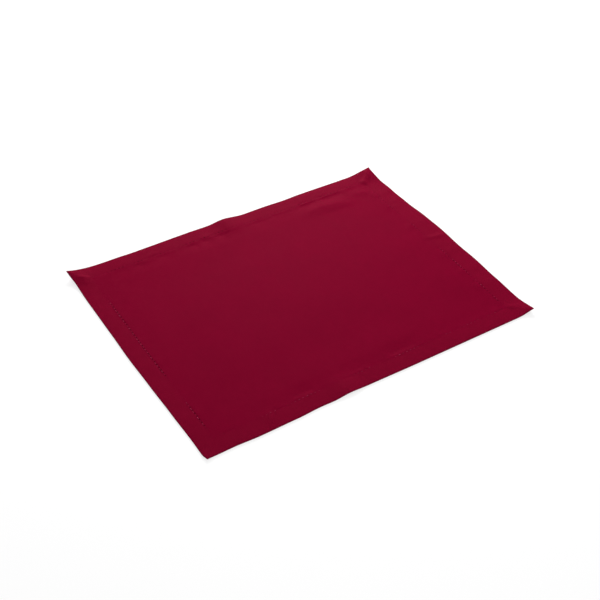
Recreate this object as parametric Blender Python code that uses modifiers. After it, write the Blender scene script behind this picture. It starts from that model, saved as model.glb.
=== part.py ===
"""Fabric placemat: one hemmed rectangle of plain cloth, lying on a table as it was laid there.

The cloth is one closed solid, hems and all, because a hem is the cloth's own edge turned under.
It starts as a flat grid whose rows lie close together in the hem and wide apart in the middle.
Three things move that grid off a plain rectangle, each from a short table below:

  - the edges bow out and in between their crests, and lift here and there;
  - each corner curls up off the table by its own amount;
  - low ridges run through the cloth where it has been folded or where a hem pulls.

A Solidify modifier then gives it its thickness, twice as much where the hem is turned under.

Frame: +X runs along the long side, +Y points to the far long edge, +Z is up.  The origin is on
the table, under the middle of the cloth.  Blender's unit here is the metre; the tables and the
driving dimensions are in millimetres, which MM turns into metres.
"""

from collections import namedtuple

import bmesh
import bpy
import numpy as np

MM = 0.001

# ---------------------------------------------------------------- driving dimensions, mm
LENGTH = 447.0           # left edge to right edge, a 450 mm cloth after its first wash
WIDTH = 347.5            # near edge to far edge
BODY_THICKNESS = 1.0     # one layer of cloth
HEM_THICKNESS = 2.0      # the turned-under hem, pressed
EDGE_THICKNESS = 1.1     # at the outer fold, which is rounded
FOLD_ROUND = 1.3         # how far in from the edge the fold reaches the full hem thickness
HEM_STEP = 7.0           # how far the cloth takes to come down from the hem to the table
HEM_LEFT = 22.5          # fold to inner edge of the hem, on each side
HEM_RIGHT = 26.0
HEM_NEAR = 23.0
HEM_FAR = 21.0

BOW_REACH = 90.0         # how far into the cloth an edge's bow is felt
LIFT_REACH = 40.0        # how far into the cloth a lifted edge is felt
CORNER_TIP_REACH = 9.0   # how far from its tip a corner is blunted or drawn out
COLUMN_SPACING = 9.5     # grid spacing inside the hems, along X
ROW_SPACING = 8.0        # and along Y

CLOTH_COLOUR = (0.188, 0.0015, 0.0194, 1.0)
CLOTH_ROUGHNESS = 0.8

# ---------------------------------------------------------------- shape tables, mm
# A crest of an edge: its place along the edge, how far out it bows, how far it lifts.
Crest = namedtuple("Crest", "along outward lift")

FAR_EDGE = (
    Crest(along=-223.5, outward=0.9, lift=0.0),
    Crest(along=-160.0, outward=0.9, lift=0.5),
    Crest(along=-138.0, outward=0.7, lift=0.0),
    Crest(along=-58.0, outward=1.3, lift=0.0),
    Crest(along=-31.0, outward=0.8, lift=0.0),
    Crest(along=-9.0, outward=1.1, lift=2.0),
    Crest(along=22.0, outward=-1.1, lift=0.0),
    Crest(along=50.0, outward=-0.9, lift=0.0),
    Crest(along=85.0, outward=-2.0, lift=0.0),
    Crest(along=106.0, outward=-1.3, lift=0.0),
    Crest(along=185.0, outward=-2.3, lift=0.0),
    Crest(along=223.5, outward=-1.6, lift=0.0),
)
NEAR_EDGE = (
    Crest(along=-223.5, outward=0.9, lift=0.0),
    Crest(along=-189.0, outward=0.3, lift=0.0),
    Crest(along=-158.0, outward=1.4, lift=0.0),
    Crest(along=-112.0, outward=0.8, lift=0.0),
    Crest(along=-80.0, outward=-0.7, lift=0.0),
    Crest(along=-64.0, outward=-0.4, lift=0.0),
    Crest(along=-41.0, outward=-1.0, lift=1.8),
    Crest(along=-17.0, outward=-1.2, lift=0.0),
    Crest(along=50.0, outward=-0.6, lift=0.0),
    Crest(along=223.5, outward=-0.6, lift=0.0),
)
LEFT_EDGE = (
    Crest(along=-173.75, outward=-0.3, lift=0.0),
    Crest(along=-143.0, outward=-0.7, lift=0.0),
    Crest(along=-98.0, outward=0.1, lift=0.0),
    Crest(along=-48.0, outward=1.0, lift=0.0),
    Crest(along=2.0, outward=1.8, lift=0.0),
    Crest(along=52.0, outward=1.1, lift=0.0),
    Crest(along=110.0, outward=0.7, lift=0.0),
    Crest(along=150.0, outward=0.0, lift=0.0),
    Crest(along=173.75, outward=2.0, lift=0.0),
)
RIGHT_EDGE = (
    Crest(along=-173.75, outward=-1.7, lift=0.0),
    Crest(along=-143.0, outward=-1.8, lift=0.0),
    Crest(along=-100.0, outward=-0.3, lift=0.0),
    Crest(along=-54.0, outward=1.5, lift=0.0),
    Crest(along=-32.0, outward=1.1, lift=0.0),
    Crest(along=15.0, outward=2.8, lift=0.0),
    Crest(along=45.0, outward=2.1, lift=0.0),
    Crest(along=82.0, outward=-0.4, lift=0.0),
    Crest(along=108.0, outward=-1.2, lift=0.0),
    Crest(along=124.0, outward=-0.9, lift=0.0),
    Crest(along=145.0, outward=-1.8, lift=0.0),
    Crest(along=173.75, outward=-1.6, lift=0.0),
)

# A corner's curl: the side of the cloth it is on, the height of its tip, how far along each
# edge it reaches, whether it rises as a curl (1) or as a level shelf (2), and how far the tip
# is drawn out, or blunted where that is negative.
Corner = namedtuple("Corner", "side_x side_y lift reach_x reach_y shelf drawn_out")

CORNERS = (
    Corner(side_x=-1, side_y=1, lift=7.5, reach_x=62.0, reach_y=62.0, shelf=1.0, drawn_out=0.3),
    Corner(side_x=1, side_y=1, lift=3.8, reach_x=40.0, reach_y=40.0, shelf=2.0, drawn_out=1.2),
    Corner(side_x=1, side_y=-1, lift=4.0, reach_x=28.0, reach_y=36.0, shelf=1.5, drawn_out=-0.8),
    Corner(side_x=-1, side_y=-1, lift=0.6, reach_x=24.0, reach_y=24.0, shelf=1.5, drawn_out=-2.2),
)

# A low ridge: its middle, the way it runs, its half length, its half width and its height.
Ridge = namedtuple("Ridge", "x y degrees half_length half_width height")

RIDGES = (
    Ridge(x=130.0, y=131.0, degrees=-6.0, half_length=50.0, half_width=17.0, height=1.0),
    Ridge(x=183.0, y=132.0, degrees=-35.0, half_length=34.0, half_width=12.0, height=0.7),
    Ridge(x=-137.0, y=-159.0, degrees=62.0, half_length=17.0, half_width=5.0, height=0.7),
    Ridge(x=208.0, y=3.0, degrees=-20.0, half_length=20.0, half_width=6.0, height=0.6),
)


def eased_table(rows, column, position):
    """Read a table of crests at the given positions, level at each crest and eased between."""
    along = np.array([row.along for row in rows])
    value = np.array([getattr(row, column) for row in rows])
    before = np.clip(np.searchsorted(along, position) - 1, 0, len(rows) - 2)
    share = np.clip((position - along[before]) / (along[before + 1] - along[before]), 0.0, 1.0)
    eased = share * share * (3.0 - 2.0 * share)
    return value[before] + (value[before + 1] - value[before]) * eased


def fading(distance, reach):
    """1 at no distance, falling smoothly to 0 at the reach and staying there."""
    return np.clip(1.0 - distance / reach, 0.0, 1.0) ** 2


def swell(distance, reach):
    """A round-topped rise: 1 in the middle, 0 from the reach on, level at both."""
    return np.clip(1.0 - (distance / reach) ** 2, 0.0, 1.0) ** 2


def grid_stations(low, high, hem_low, hem_high, spacing):
    """Grid positions between two edges: close in both hems and their steps, even between."""
    def hem_stations(hem):
        inner = hem + HEM_STEP
        return np.array([0.0, FOLD_ROUND, 0.3 * hem, 0.65 * hem, hem, hem + 0.5 * HEM_STEP, inner])

    from_low = low + hem_stations(hem_low)
    from_high = (high - hem_stations(hem_high))[::-1]
    cells = max(1, round((from_high[0] - from_low[-1]) / spacing))
    between = np.linspace(from_low[-1], from_high[0], cells + 1)[1:-1]
    return np.concatenate([from_low, between, from_high])


def hem_weight(u, v):
    """How much of the hem's extra thickness is present: 1 in the hem, 0 in the body."""
    inside = np.minimum.reduce([
        u + LENGTH / 2 - HEM_LEFT,
        LENGTH / 2 - u - HEM_RIGHT,
        v + WIDTH / 2 - HEM_NEAR,
        WIDTH / 2 - v - HEM_FAR,
    ])
    to_edge = np.minimum(LENGTH / 2 - np.abs(u), WIDTH / 2 - np.abs(v))
    step = np.clip(1.0 - inside / HEM_STEP, 0.0, 1.0)
    weight = step * step * (3.0 - 2.0 * step)
    edge_weight = (EDGE_THICKNESS - BODY_THICKNESS) / (HEM_THICKNESS - BODY_THICKNESS)
    return np.where(to_edge < 0.5 * FOLD_ROUND, edge_weight, weight)


def underside(u, v):
    """Where each point (u, v) of the flat rectangle lies: x, y and height of its lower face."""
    from_left, from_right = u + LENGTH / 2, LENGTH / 2 - u
    from_near, from_far = v + WIDTH / 2, WIDTH / 2 - v
    edges = (
        (LEFT_EDGE, v, from_left, (-1, 0)),
        (RIGHT_EDGE, v, from_right, (1, 0)),
        (NEAR_EDGE, u, from_near, (0, -1)),
        (FAR_EDGE, u, from_far, (0, 1)),
    )
    x, y, height = u.copy(), v.copy(), np.zeros_like(u)
    for rows, along, inward, outward_way in edges:
        bow = eased_table(rows, "outward", along) * fading(inward, BOW_REACH)
        x += outward_way[0] * bow
        y += outward_way[1] * bow
        height += eased_table(rows, "lift", along) * swell(inward, LIFT_REACH)

    for corner in CORNERS:
        across = LENGTH / 2 - corner.side_x * u
        down = WIDTH / 2 - corner.side_y * v
        distance = np.hypot(across / corner.reach_x, down / corner.reach_y)
        height += corner.lift * np.clip(1.0 - distance ** corner.shelf, 0.0, 1.0) ** 3
        drawn = corner.drawn_out * fading(np.hypot(across, down), CORNER_TIP_REACH)
        x += corner.side_x * drawn
        y += corner.side_y * drawn

    for ridge in RIDGES:
        angle = np.radians(ridge.degrees)
        along = (u - ridge.x) * np.cos(angle) + (v - ridge.y) * np.sin(angle)
        across = (v - ridge.y) * np.cos(angle) - (u - ridge.x) * np.sin(angle)
        height += ridge.height * swell(along, ridge.half_length) * swell(across, ridge.half_width)
    return x, y, height


def cloth_material():
    """Deep red cloth, matt."""
    material = bpy.data.materials.new("placemat_cloth")
    material.use_nodes = True
    shader = material.node_tree.nodes["Principled BSDF"]
    shader.inputs["Base Color"].default_value = CLOTH_COLOUR
    shader.inputs["Roughness"].default_value = CLOTH_ROUGHNESS
    shader.inputs["Metallic"].default_value = 0.0
    material.diffuse_color = CLOTH_COLOUR
    return material


def cloth(collection):
    """The whole placemat: the shaped grid of its lower face, thickened upwards."""
    columns = grid_stations(-LENGTH / 2, LENGTH / 2, HEM_LEFT, HEM_RIGHT, COLUMN_SPACING)
    rows = grid_stations(-WIDTH / 2, WIDTH / 2, HEM_NEAR, HEM_FAR, ROW_SPACING)

    mesh = bpy.data.meshes.new("placemat_cloth")
    grid = bmesh.new()
    bmesh.ops.create_grid(grid, x_segments=len(columns) - 1, y_segments=len(rows) - 1, size=0.5)
    grid.to_mesh(mesh)
    grid.free()

    flat = np.empty(len(mesh.vertices) * 3)
    mesh.vertices.foreach_get("co", flat)
    flat = flat.reshape(-1, 3)
    column = np.rint((flat[:, 0] + 0.5) * (len(columns) - 1)).astype(int)
    row = np.rint((flat[:, 1] + 0.5) * (len(rows) - 1)).astype(int)
    u, v = columns[column], rows[row]
    shaped = np.stack(underside(u, v), axis=1) * MM
    mesh.vertices.foreach_set("co", shaped.ravel())
    mesh.update()
    mesh.materials.append(cloth_material())

    piece = bpy.data.objects.new("placemat_cloth", mesh)
    collection.objects.link(piece)
    hem_layers = piece.vertex_groups.new(name="hem_layers")
    for index, weight in enumerate(hem_weight(u, v)):
        hem_layers.add([index], float(weight), "REPLACE")

    thickness = piece.modifiers.new("cloth_thickness", "SOLIDIFY")
    thickness.thickness = HEM_THICKNESS * MM
    thickness.offset = 1.0
    thickness.vertex_group = hem_layers.name
    thickness.thickness_vertex_group = BODY_THICKNESS / HEM_THICKNESS
    return piece


def clear_scene():
    """Remove whatever objects the open file starts with."""
    for item in list(bpy.data.objects):
        bpy.data.objects.remove(item, do_unlink=True)


def main():
    clear_scene()
    collection = bpy.data.collections.new("fabric_placemat")
    bpy.context.scene.collection.children.link(collection)
    cloth(collection)


main()
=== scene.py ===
"""Fabric placemat: the finished cloth, its hems and its stitching, dressed for the studio.

The placemat is one piece of deep red table linen.  Each edge is turned under twice and held by
one line of stitching, and the four corners are mitred.  It lies on a table with its edges a
little bowed, its corners curled up and a few soft wrinkles in it, as it was laid.

Sizes are in millimetres until a mesh is written, where MM turns them into metres.  The frame is
the solid's own: +X along the long side, +Y to the far edge, +Z up, origin on the table under the
middle of the cloth.  A point of the cloth is named by (u, v), its place in the flat rectangle
before the edges bowed and the corners curled.
"""

from __future__ import annotations

import logging
import math
from dataclasses import dataclass
from enum import Enum
from functools import cached_property, reduce
from typing import Iterator, Sequence, TypeVar

import bpy
import numpy as np
from mathutils import Matrix

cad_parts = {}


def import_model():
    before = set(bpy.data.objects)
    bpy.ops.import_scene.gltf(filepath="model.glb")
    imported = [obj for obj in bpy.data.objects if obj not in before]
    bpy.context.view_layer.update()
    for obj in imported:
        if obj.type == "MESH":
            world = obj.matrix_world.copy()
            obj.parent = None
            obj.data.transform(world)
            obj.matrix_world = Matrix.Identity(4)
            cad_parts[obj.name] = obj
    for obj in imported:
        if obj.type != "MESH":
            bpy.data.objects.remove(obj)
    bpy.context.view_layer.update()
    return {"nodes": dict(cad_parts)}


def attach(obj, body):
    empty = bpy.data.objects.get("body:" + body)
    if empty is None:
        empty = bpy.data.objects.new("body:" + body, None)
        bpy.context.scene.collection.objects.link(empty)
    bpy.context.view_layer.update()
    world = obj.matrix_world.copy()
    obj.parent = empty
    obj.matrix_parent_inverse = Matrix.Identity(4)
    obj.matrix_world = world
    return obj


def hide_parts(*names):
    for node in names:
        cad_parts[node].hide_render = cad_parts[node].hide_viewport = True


MM = 0.001
CLOTH_NODE = "placemat_cloth"
ROOT_BODY = "root"
UV_MAP = "OFBake"
UV_MARGIN = 2.0
WHITE = (1.0, 1.0, 1.0, 1.0)

Array = np.ndarray
Colour = tuple[float, float, float, float]
Row = TypeVar("Row")
Waves = tuple[tuple[float, float, float], ...]      # wavelength, phase in turns, height
LOG = logging.getLogger("placemat")


# ------------------------------------------------------------------ small shape formulas

def ease(share: Array) -> Array:
    """Smooth step: 0 below 0, 1 above 1, level at both ends (three squares less two cubes)."""
    held = np.clip(share, 0.0, 1.0)
    return held * held * (3.0 - 2.0 * held)


def fading(distance: Array, reach: float) -> Array:
    """1 at no distance, falling as a square to 0 at the reach and staying there."""
    return np.clip(1.0 - distance / reach, 0.0, 1.0) ** 2


def swell(distance: Array, reach: float) -> Array:
    """Round-topped rise: (1 - (distance / reach) squared) squared, and 0 past the reach."""
    return np.clip(1.0 - (distance / reach) ** 2, 0.0, 1.0) ** 2


def bell(distance: Array, spread: float) -> Array:
    """Bell curve of the given spread, 1 in the middle."""
    return np.exp(-((distance / spread) ** 2))


def unit(vectors: Array) -> Array:
    """Vectors of length 1 that point the same ways."""
    return vectors / np.linalg.norm(vectors, axis=-1, keepdims=True)


def wander(position: Array, waves: Waves) -> Array:
    """Sum of sines along a line, for what is uneven by hand.

    Args:
        position: places along the line, in millimetres.
        waves: (wavelength in millimetres, phase in turns, height) of each sine.

    Returns:
        The sum, of the shape of position.
    """
    total = np.zeros_like(position, dtype=float)
    for wavelength, phase, height in waves:
        total += height * np.sin(2.0 * math.pi * (position / wavelength + phase))
    return total


# ------------------------------------------------------------------ the cloth as it lies

class Edge(Enum):
    """The four edges of the cloth, each with the way that points out of the cloth there."""

    NEAR = (0, -1)
    RIGHT = (1, 0)
    FAR = (0, 1)
    LEFT = (-1, 0)

    @property
    def runs_along_x(self) -> bool:
        """True for the two long edges."""
        return self.value[0] == 0


@dataclass(frozen=True)
class Crest:
    """One crest of an edge: its place along it, how far out it bows, how far it lifts."""

    along: float
    outward: float
    lift: float = 0.0


@dataclass(frozen=True)
class Curl:
    """A corner off the table: its tip's height, its reach along X and Y, and its form.

    shelf is 1 for a curl and 2 for a level shelf.  drawn_x and drawn_y move the tip out of the
    cloth along X and Y.
    """

    side_x: int
    side_y: int
    lift: float
    reach_x: float
    reach_y: float
    shelf: float
    drawn_x: float
    drawn_y: float


@dataclass(frozen=True)
class Ridge:
    """A low ridge in the cloth: its middle, the way it runs, its half sizes and its height."""

    x: float
    y: float
    degrees: float
    half_length: float
    half_width: float
    height: float


@dataclass(frozen=True)
class Pucker:
    """A place beside a seam where the cloth stands up: how far along, half length, height."""

    edge: Edge
    along: float
    half_length: float
    height: float


@dataclass(frozen=True)
class SeamPlace:
    """One place along a side's stitching.

    drop is the share of the hem's rise that the body drops at once there, and slack is 1 where
    the thread stands up from the cloth and 0 where it is drawn in.
    """

    along: float
    drop: float
    slack: float = 0.0


def rows_of(kind: type[Row], *rows: Sequence[object]) -> tuple[Row, ...]:
    """Make one record of a kind from each row of its fields."""
    return tuple(kind(*row) for row in rows)


EDGE_CRESTS = {  # along, outward, lift
    Edge.FAR: rows_of(
        Crest,
        (-223.5, 0.9), (-160.0, 0.9, 0.5), (-138.0, 0.7), (-58.0, 1.3), (-31.0, 0.8),
        (-9.0, 1.1, 2.0), (22.0, -1.1), (50.0, -0.9), (85.0, -2.0), (106.0, -1.3), (185.0, -2.3),
        (223.5, -1.6),
    ),
    Edge.NEAR: rows_of(
        Crest,
        (-223.5, 0.9), (-189.0, 0.3), (-158.0, 1.4), (-112.0, 0.8), (-80.0, -0.7), (-64.0, -0.4),
        (-41.0, -1.0, 1.3), (-17.0, -1.2), (50.0, -0.6), (223.5, -0.6),
    ),
    Edge.LEFT: rows_of(
        Crest,
        (-173.75, 0.3), (-143.0, -0.1), (-98.0, 0.7), (-48.0, 1.6), (2.0, 2.4), (52.0, 1.7),
        (110.0, 1.3), (150.0, 0.6), (173.75, 2.6),
    ),
    Edge.RIGHT: rows_of(
        Crest,
        (-173.75, -1.7), (-143.0, -1.8), (-100.0, -0.3), (-54.0, 1.5), (-32.0, 1.1), (15.0, 2.8),
        (45.0, 2.1), (82.0, -0.4), (108.0, -1.2), (124.0, -0.9), (145.0, -1.8), (173.75, -1.6),
    ),
}

CORNER_CURLS = (
    Curl(-1, 1, lift=7.5, reach_x=62.0, reach_y=62.0, shelf=1.0, drawn_x=0.3, drawn_y=0.3),
    Curl(1, 1, lift=3.8, reach_x=40.0, reach_y=40.0, shelf=2.0, drawn_x=1.2, drawn_y=1.2),
    Curl(1, -1, lift=4.0, reach_x=28.0, reach_y=36.0, shelf=1.5, drawn_x=0.2, drawn_y=0.2),
    Curl(-1, -1, lift=0.6, reach_x=24.0, reach_y=24.0, shelf=1.5, drawn_x=-2.1, drawn_y=0.2),
)

RIDGES = rows_of(  # x, y, degrees, half_length, half_width, height
    Ridge,
    (130.0, 131.0, -6.0, 50.0, 17.0, 0.8), (183.0, 132.0, -35.0, 34.0, 12.0, 0.45),
    (-137.0, -159.0, 62.0, 17.0, 5.0, 0.5), (208.0, 3.0, -20.0, 20.0, 6.0, 0.6),
)

CREASES = rows_of(  # x, y, degrees, half_length, half_width, height
    Ridge,
    (-210.5, 158.0, -22.0, 10.0, 4.8, 0.85), (-212.0, 153.5, -34.0, 12.0, 9.0, 0.55),
    (215.0, 162.0, 80.0, 11.0, 4.5, 1.25), (204.0, 156.5, 45.0, 12.0, 6.0, 0.45),
    (200.8, 151.5, -35.0, 9.0, 7.0, 0.95), (-44.0, 155.2, 0.0, 13.0, 5.0, 0.3),
    (-118.0, 157.0, 0.0, 8.0, 5.0, 0.2), (204.5, -153.5, -12.0, 11.0, 6.5, 0.45),
    (207.5, -154.5, -35.0, 6.0, 5.0, 0.5), (216.0, 3.5, -8.0, 11.0, 5.0, 0.25),
    (204.0, 82.0, -25.0, 12.0, 5.0, 0.35), (206.0, -32.0, -15.0, 9.0, 5.0, 0.15),
    (113.0, 135.0, 2.0, 24.0, 8.0, 0.2), (147.0, 125.0, -27.0, 22.0, 9.0, 0.2),
    (181.0, 134.0, -14.0, 17.0, 6.0, 0.15), (-137.0, -158.0, 64.0, 14.0, 2.6, 0.2),
)

PUCKERS = rows_of(  # edge, along, half_length, height
    Pucker,
    (Edge.NEAR, 183.0, 12.0, 0.15), (Edge.FAR, 104.0, 10.0, 0.4), (Edge.FAR, 136.0, 12.0, 0.5),
    (Edge.FAR, 170.0, 10.0, 0.4), (Edge.RIGHT, 118.0, 9.0, 0.4), (Edge.RIGHT, 92.0, 10.0, 0.4),
    (Edge.RIGHT, 38.0, 9.0, 0.4), (Edge.RIGHT, -30.0, 10.0, 0.4), (Edge.RIGHT, -70.0, 8.0, 0.4),
    (Edge.RIGHT, -103.0, 9.0, 0.4), (Edge.LEFT, 60.0, 9.0, 0.2), (Edge.LEFT, -20.0, 10.0, 0.25),
    (Edge.LEFT, -112.0, 9.0, 0.3),
)

SEAM_PLACES = {  # along, drop, slack
    Edge.FAR: rows_of(
        SeamPlace,
        (-223.5, 0.0), (-190.0, 0.05), (-163.0, 0.37, 0.4), (-152.0, 0.09), (-141.0, 0.85),
        (-128.0, 0.17), (-118.0, 0.24), (-106.0, 0.8), (-92.0, 0.17), (-80.0, 0.24),
        (-65.0, 0.95), (-57.0, 0.35), (-46.0, 1.0), (-35.0, 0.25), (-24.0, 1.0), (-10.0, 0.31),
        (12.0, 0.2), (33.0, 0.75), (46.0, 0.15), (62.0, 0.44), (82.0, 0.2), (99.0, 0.85),
        (113.0, 0.95), (122.0, 0.1), (133.0, 0.85), (153.0, 0.95), (165.0, 0.1), (173.0, 0.85),
        (184.0, 0.15), (223.5, 0.0),
    ),
    Edge.NEAR: rows_of(
        SeamPlace,
        (-223.5, 0.0), (-150.0, 0.03), (-134.0, 0.2, 0.9), (-122.0, 0.04), (-108.0, 0.12, 0.4),
        (-95.0, 0.6, 1.0), (-80.0, 0.65, 1.0), (-68.0, 0.04), (-32.0, 0.03), (-20.0, 0.4, 0.6),
        (-8.0, 0.4, 0.6), (6.0, 0.03), (26.0, 0.03), (36.0, 0.75, 1.0), (58.0, 0.6, 0.9),
        (72.0, 0.03), (96.0, 0.03), (110.0, 0.12, 0.6), (124.0, 0.03), (142.0, 0.2, 0.7),
        (158.0, 0.06), (183.0, 0.24, 0.5), (196.0, 0.08), (223.5, 0.0),
    ),
    Edge.LEFT: rows_of(
        SeamPlace,
        (-173.75, 0.0), (-140.0, 0.02), (-128.0, 0.08, 0.9), (-98.0, 0.1, 1.0), (-92.0, 0.03),
        (-50.0, 0.03), (-41.0, 0.1, 1.0), (5.0, 0.06, 0.85), (20.0, 0.12, 1.0), (52.0, 0.06, 0.8),
        (70.0, 0.1, 1.0), (94.0, 0.06, 0.9), (103.0, 0.02), (173.75, 0.0),
    ),
    Edge.RIGHT: rows_of(
        SeamPlace,
        (-173.75, 0.0), (-145.0, 0.05), (-134.0, 0.1, 0.9), (-122.0, 0.12, 0.2),
        (-104.0, 0.12, 1.0), (-90.0, 0.18), (-74.0, 0.1, 0.7), (-53.0, 0.12, 0.9), (-40.0, 0.2),
        (-30.0, 0.1, 0.7), (-12.0, 0.1), (22.0, 0.3), (38.0, 0.1, 0.8), (46.0, 0.34),
        (58.0, 0.14), (74.0, 0.34), (84.0, 0.12, 0.5), (93.0, 0.32), (104.0, 0.1, 0.4),
        (122.0, 0.26), (136.0, 0.1), (173.75, 0.0),
    ),
}


def read_places(rows: Sequence[Crest | SeamPlace], column: str, along: Array) -> Array:
    """Read a column of rows placed along a side: level at each row and eased between them.

    Args:
        rows: the rows, in order along the side.
        column: the name of the field to read.
        along: places along the side, in millimetres.

    Returns:
        The field's value at each place.
    """
    place = np.array([row.along for row in rows])
    value = np.array([getattr(row, column) for row in rows])
    before = np.clip(np.searchsorted(place, along) - 1, 0, len(rows) - 2)
    share = (along - place[before]) / (place[before + 1] - place[before])
    return value[before] + (value[before + 1] - value[before]) * ease(share)


def ridge_height(rows: Sequence[Ridge], u: Array, v: Array) -> Array:
    """Sum of ridges: each one's height times a swell along it times a swell across it.

    Args:
        rows: the ridges.
        u: places along X in the flat rectangle.
        v: places along Y in the flat rectangle.

    Returns:
        The height that they add at each place.
    """
    total = np.zeros(np.shape(u))
    for ridge in rows:
        angle = math.radians(ridge.degrees)
        along = (u - ridge.x) * math.cos(angle) + (v - ridge.y) * math.sin(angle)
        across = (v - ridge.y) * math.cos(angle) - (u - ridge.x) * math.sin(angle)
        total += ridge.height * swell(along, ridge.half_length) * swell(across, ridge.half_width)
    return total


@dataclass
class LaidCloth:
    """How the flat rectangle of cloth lies: where each point (u, v) of it goes.

    Lengths are in millimetres.  The edges, corners and larger ridges follow the solid's.
    """

    length: float = 447.0
    width: float = 347.5
    bow_reach: float = 90.0         # how far in an edge's bows are felt
    lift_reach: float = 40.0        # and its lifts
    tip_reach: float = 9.0          # how far round a corner's tip the cloth is drawn out

    def half_along(self, edge: Edge) -> float:
        """Half the length of one side."""
        return self.length / 2 if edge.runs_along_x else self.width / 2

    def inset(self, edge: Edge, u: Array, v: Array) -> Array:
        """Distance of (u, v) from an edge of the flat rectangle, inwards.

        Args:
            edge: the edge.
            u: places along X in the flat rectangle.
            v: places along Y in the flat rectangle.

        Returns:
            The distance of each place, in millimetres.
        """
        out_x, out_y = edge.value
        half = self.width / 2 if edge.runs_along_x else self.length / 2
        return half - (out_x * u + out_y * v)

    def lay(self, u: Array, v: Array) -> tuple[Array, Array, Array]:
        """Carry the flat rectangle to where it lies.

        Each edge moves out by its crests, which fades as a square towards the middle.  The
        height is the sum of the edges' lifts, the corners' curls, (1 - distance ** shelf)
        cubed, and the ridges, a swell along times a swell across.

        Args:
            u: places along X in the flat rectangle.
            v: places along Y in the flat rectangle.

        Returns:
            x, y and the height of the cloth's underside over the table.
        """
        x, y, height = u.astype(float).copy(), v.astype(float).copy(), np.zeros(np.shape(u))
        for edge in Edge:
            crests, along = EDGE_CRESTS[edge], u if edge.runs_along_x else v
            inset = self.inset(edge, u, v)
            bow = read_places(crests, "outward", along) * fading(inset, self.bow_reach)
            x += edge.value[0] * bow
            y += edge.value[1] * bow
            height += read_places(crests, "lift", along) * swell(inset, self.lift_reach)
        for curl in CORNER_CURLS:
            across = self.length / 2 - curl.side_x * u
            down = self.width / 2 - curl.side_y * v
            distance = np.hypot(across / curl.reach_x, down / curl.reach_y)
            height += curl.lift * np.clip(1.0 - distance ** curl.shelf, 0.0, 1.0) ** 3
            near_tip = fading(np.hypot(across, down), self.tip_reach)
            x += curl.side_x * curl.drawn_x * near_tip
            y += curl.side_y * curl.drawn_y * near_tip
        height += ridge_height(RIDGES, u, v)
        return x, y, height


@dataclass(frozen=True)
class HemSide:
    """One side's hem: its width, and what its stitching does to the cloth.

    pinch is the share of the hem's height that the stitching takes out, and pull how dark
    the painted shade in its needle holes is, from 0 to 1.
    """

    width: float
    pinch: float
    pull: float = 1.0


@dataclass
class HemSection:
    """The hem in cross section: three layers of cloth, pinched together along the stitching.

    The right side of the cloth is the face that shows: it runs over the hem, round the outer
    fold and back under the hem to its inner edge.  Lengths are in millimetres.
    """

    cloth: float = 0.36             # thickness of one layer
    gap: float = 0.07               # air between the layers
    step: float = 21.0              # from the hem's inner edge to the middle panel
    float_reach: float = 62.0       # how far the body floats in from the hem's inner edge
    drop_reach: float = 6.5         # how far in it drops at once where it does
    drop_fade: float = 24.0         # where the cloth beside such a drop lies level again
    stitch_in: float = 1.3          # stitching, out from the hem's inner edge
    stitch_pitch: float = 5.2       # from one stitch to the next
    groove: float = 0.2             # how far the stitching lifts the underside
    pinch_spread: float = 1.15      # how wide the stitching pinches and lifts
    pull_fade: float = 4.0          # how far from a seam's ends the painted shade in its needle holes is faint
    raw_edge: float = 2.2           # where the turned-in raw edge stops, from the fold
    near: HemSide = HemSide(width=23.0, pinch=0.17, pull=0.15)
    right: HemSide = HemSide(width=26.0, pinch=0.18)
    far: HemSide = HemSide(width=21.0, pinch=0.21)
    left: HemSide = HemSide(width=22.5, pinch=0.17)

    def side(self, edge: Edge) -> HemSide:
        """The hem along one edge."""
        return getattr(self, edge.name.lower())

    def width(self, edge: Edge) -> float:
        """Width of the hem along one edge."""
        return self.side(edge).width

    def turned_under(self, edge: Edge) -> float:
        """Width of cloth turned under along one edge: the hem, and again up to its raw edge."""
        return 2.0 * self.width(edge) - self.raw_edge


@dataclass(frozen=True)
class Unevenness:
    """What is uneven by hand: waves and small heights, in millimetres."""

    least_gap: float = 0.55         # at the hem's edges, to halfway across it
    gap_x: Waves = ((61.0, 0.1, 0.22), (23.0, 0.6, 0.10))
    gap_y: Waves = ((53.0, 0.4, 0.22), (19.0, 0.2, 0.10))
    pinch: Waves = ((31.0, 0.2, 0.12), (83.0, 0.7, 0.15))
    ruffle_phase: Waves = ((71.0, 0.13, 0.35), (37.0, 0.51, 0.2))
    ruffle_strength: Waves = ((97.0, 0.3, 0.28), (43.0, 0.7, 0.2))
    ruffle_mean: float = 0.5        # mean strength, of which the waves above take and add
    ruffle_height: float = 0.22
    ruffle_wavelength: float = 13.0
    ruffle_slant: float = 0.45      # along the seam for each millimetre across it
    pucker_peak: float = 3.0        # how far inside the stitching puckers and ruffles peak
    pucker_reach: float = 17.0      # and how much farther in they die out
    pucker_on_hem: float = 0.45     # share of their height that the hem has
    pucker_hem_fades: tuple[float, float] = (4.0, 6.0)     # there, at the stitching and the fold
    pucker_fade: float = 12.0       # how far from a side's ends they fade
    drop_fade: float = 14.0         # and how far the drops do
    mitre_height: float = 0.1       # how far a folded corner's layers are felt
    mitre_spread: float = 2.6       # and how wide
    mitre_fade: float = 0.2         # share of the diagonal over which they fade
    mitre_end: float = 1.08         # and where along it they end
    body_x: Waves = ((131.0, 0.2, 0.5),)
    body_x_slant: float = 0.35
    body_y: Waves = ((97.0, 0.55, 0.5),)
    body_y_slant: float = -0.25
    body_level: float = 1.4         # ring level where the body's waves start
    body_lift: float = 0.28         # mean height of the body's low waves


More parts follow.
